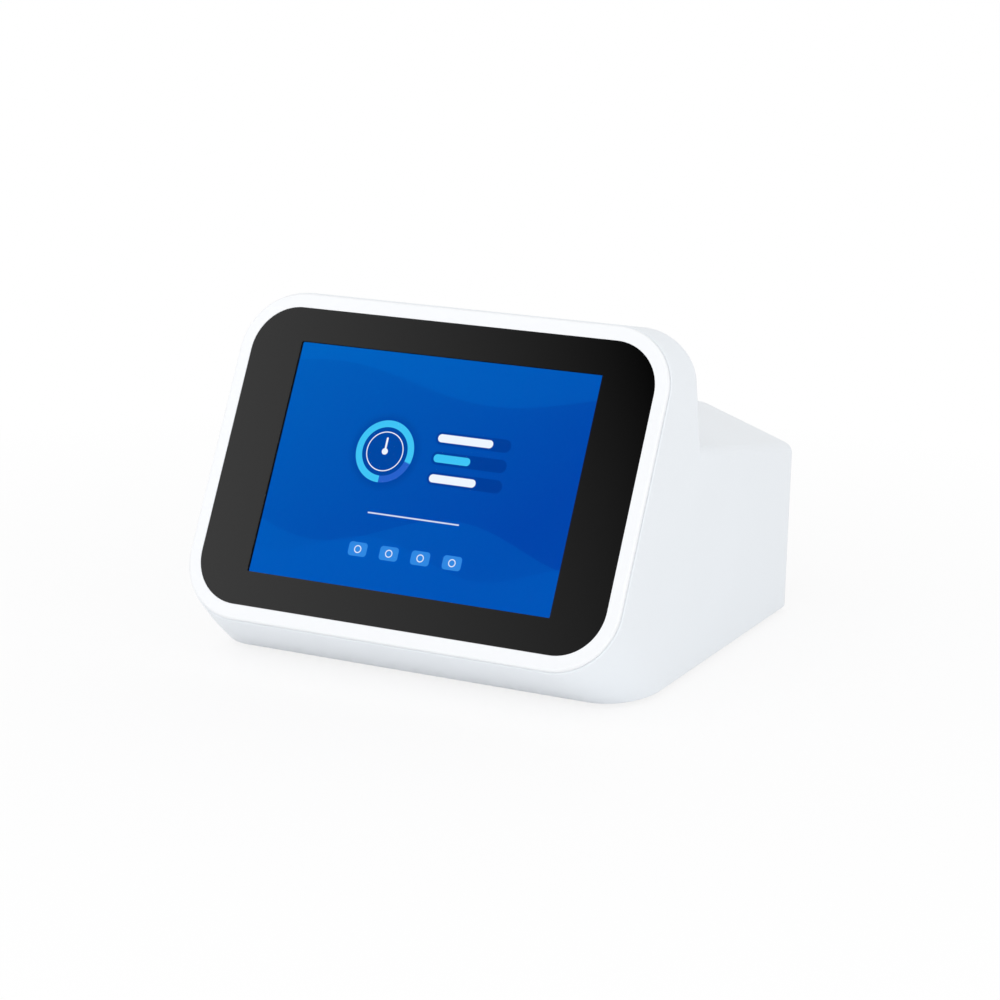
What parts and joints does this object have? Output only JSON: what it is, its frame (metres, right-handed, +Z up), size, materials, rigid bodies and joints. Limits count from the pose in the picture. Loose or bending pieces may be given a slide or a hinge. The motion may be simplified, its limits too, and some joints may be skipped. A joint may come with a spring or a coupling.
{
  "type": "filter integrity tester",
  "caption": "Bench filter integrity tester with a large tilted touch display, rear deck printer with hinged lid, gas test couplings and mains inlet in a rear bay.",
  "frame": {"origin": "middle of the footprint on the surface the feet stand on", "axes": "X to the right seen from the front, Y to the back, Z up; the display faces -Y and up"},
  "size_m": [0.3022, 0.31, 0.2262],
  "materials": {
    "shell": "satin, fine moulded texture",
    "ring": "satin",
    "cover_glass": "clear, black print round the edge",
    "tape": "matt black",
    "display": "lit display",
    "steel": "brushed",
    "zinc_sheet": "zinc plated",
    "aluminium": "machined",
    "anodised": "anodised, satin",
    "brass": "turned",
    "sintered": "sintered, dull",
    "nickel": "nickel plated",
    "circuit_board": "solder mask",
    "base_grey": "powder coat",
    "rubber": "matt",
    "black_plastic": "fine texture",
    "dark_grey_plastic": "fine texture",
    "fuse_glass": "clear with metal caps",
    "tube": "flexible tube",
    "gear": "natural acetal",
    "paper": "thermal paper",
    "core": "board",
    "key_grey": "satin"
  },
  "bodies": {
    "case": {"housing": "shell", "front_ring": "ring", "cover_glass": "cover_glass", "glass_tape": "tape", "lcd_panel": "display", "lcd_frame": "zinc_sheet", "display_bracket": "zinc_sheet", "display_screws": "steel", "board_standoffs": "brass", "main_board": "circuit_board", "base_plate": "base_grey", "rubber_feet": "rubber", "base_screws": "steel", "rear_tray": "shell", "rear_panel": "anodised", "panel_screws": "steel", "inlet_housing": "black_plastic", "inlet_pins": "nickel", "usb_sockets": "nickel", "lan_socket": "nickel", "serial_socket": "nickel", "io_board": "circuit_board", "fan_frame": "black_plastic", "supply_nipple": "steel", "test_port_body": "nickel", "exhaust_silencer": "sintered", "port_nuts": "brass", "manifold_block": "aluminium", "solenoid_coils": "black_plastic", "pressure_sensors": "steel", "pressure_regulator": "aluminium", "buffer_tank": "steel", "tank_bands": "zinc_sheet", "gas_tubes": "tube", "power_cage": "zinc_sheet", "power_board": "circuit_board", "printer_bezel": "dark_grey_plastic", "lid_hinge_pin": "steel", "feed_motor": "steel", "printer_bucket": "dark_grey_plastic", "tear_bar": "steel"},
    "lid": {"printer_lid": "dark_grey_plastic"},
    "platen": {"platen_shaft": "steel", "platen_rubber": "rubber", "platen_gear": "gear"},
    "idler": {"idler_gear": "gear"},
    "pinion": {"motor_pinion": "gear"},
    "roll": {"paper_roll": "paper", "paper_core": "core"},
    "head": {"print_head": "aluminium"},
    "release": {"release_button": "key_grey"},
    "feed": {"feed_key": "key_grey"},
    "rocker": {"rocker": "black_plastic"},
    "drawer": {"fuse_drawer": "black_plastic", "fuses": "fuse_glass"},
    "sleeve": {"port_sleeve": "steel"},
    "fan": {"fan_rotor": "black_plastic"},
    "plunger_1": {"valve_plunger_1": "steel"},
    "plunger_2": {"valve_plunger_2": "steel"},
    "plunger_3": {"valve_plunger_3": "steel"}
  },
  "joints": [
    {"name": "lid_hinge", "type": "hinge", "parent": "case", "child": "lid", "pos_m": [0, 0.08953, 0.15184], "axis": [-1, 0, 0], "range_deg": [0, 95]},
    {"name": "platen_spin", "type": "hinge", "parent": "lid", "child": "platen", "pos_m": [0, 0.0282, 0.15523], "axis": [1, 0, 0], "continuous": true},
    {"name": "idler_spin", "type": "hinge", "parent": "case", "child": "idler", "pos_m": [0, 0.0256, 0.14036], "axis": [1, 0, 0], "continuous": true},
    {"name": "pinion_spin", "type": "hinge", "parent": "case", "child": "pinion", "pos_m": [0, 0.0136, 0.1362], "axis": [1, 0, 0], "continuous": true},
    {"name": "roll_spin", "type": "hinge", "parent": "case", "child": "roll", "pos_m": [0, 0.05632, 0.13023], "axis": [1, 0, 0], "continuous": true},
    {"name": "head_tilt", "type": "hinge", "parent": "case", "child": "head", "pos_m": [0, 0.01867, 0.14776], "axis": [1, 0, 0], "range_deg": [0, 2.5], "stiffness_Nm_per_rad": 0.5, "springref_deg": -5.73},
    {"name": "release_press", "type": "slide", "parent": "case", "child": "release", "axis": [0, -0.1719, -0.9851], "range_m": [0, 0.0012], "stiffness_N_per_m": 500, "springref_m": -0.001},
    {"name": "feed_press", "type": "slide", "parent": "case", "child": "feed", "axis": [0, -0.1719, -0.9851], "range_m": [0, 0.0012], "stiffness_N_per_m": 500, "springref_m": -0.001},
    {"name": "rocker_tip", "type": "hinge", "parent": "case", "child": "rocker", "pos_m": [-0.095, 0.131, 0.078], "axis": [0, 0, 1], "range_deg": [0, 18]},
    {"name": "drawer_slide", "type": "slide", "parent": "case", "child": "drawer", "axis": [0, 1, 0], "range_m": [0, 0.016]},
    {"name": "sleeve_slide", "type": "slide", "parent": "case", "child": "sleeve", "axis": [0, -1, 0], "range_m": [0, 0.003], "stiffness_N_per_m": 1000, "springref_m": -0.001},
    {"name": "fan_spin", "type": "hinge", "parent": "case", "child": "fan", "pos_m": [-0.028, 0.125, 0.073], "axis": [0, 1, 0], "continuous": true},
    {"name": "plunger_1_lift", "type": "slide", "parent": "case", "child": "plunger_1", "axis": [0, 0, 1], "range_m": [0, 0.002], "stiffness_N_per_m": 300, "springref_m": -0.003},
    {"name": "plunger_2_lift", "type": "slide", "parent": "case", "child": "plunger_2", "axis": [0, 0, 1], "range_m": [0, 0.002], "stiffness_N_per_m": 300, "springref_m": -0.003},
    {"name": "plunger_3_lift", "type": "slide", "parent": "case", "child": "plunger_3", "axis": [0, 0, 1], "range_m": [0, 0.002], "stiffness_N_per_m": 300, "springref_m": -0.003}
  ],
  "couplings": [
    {"joint": "idler_spin", "follows": "platen_spin", "ratio": -0.66667},
    {"joint": "pinion_spin", "follows": "platen_spin", "ratio": 1.6667}
  ]
}
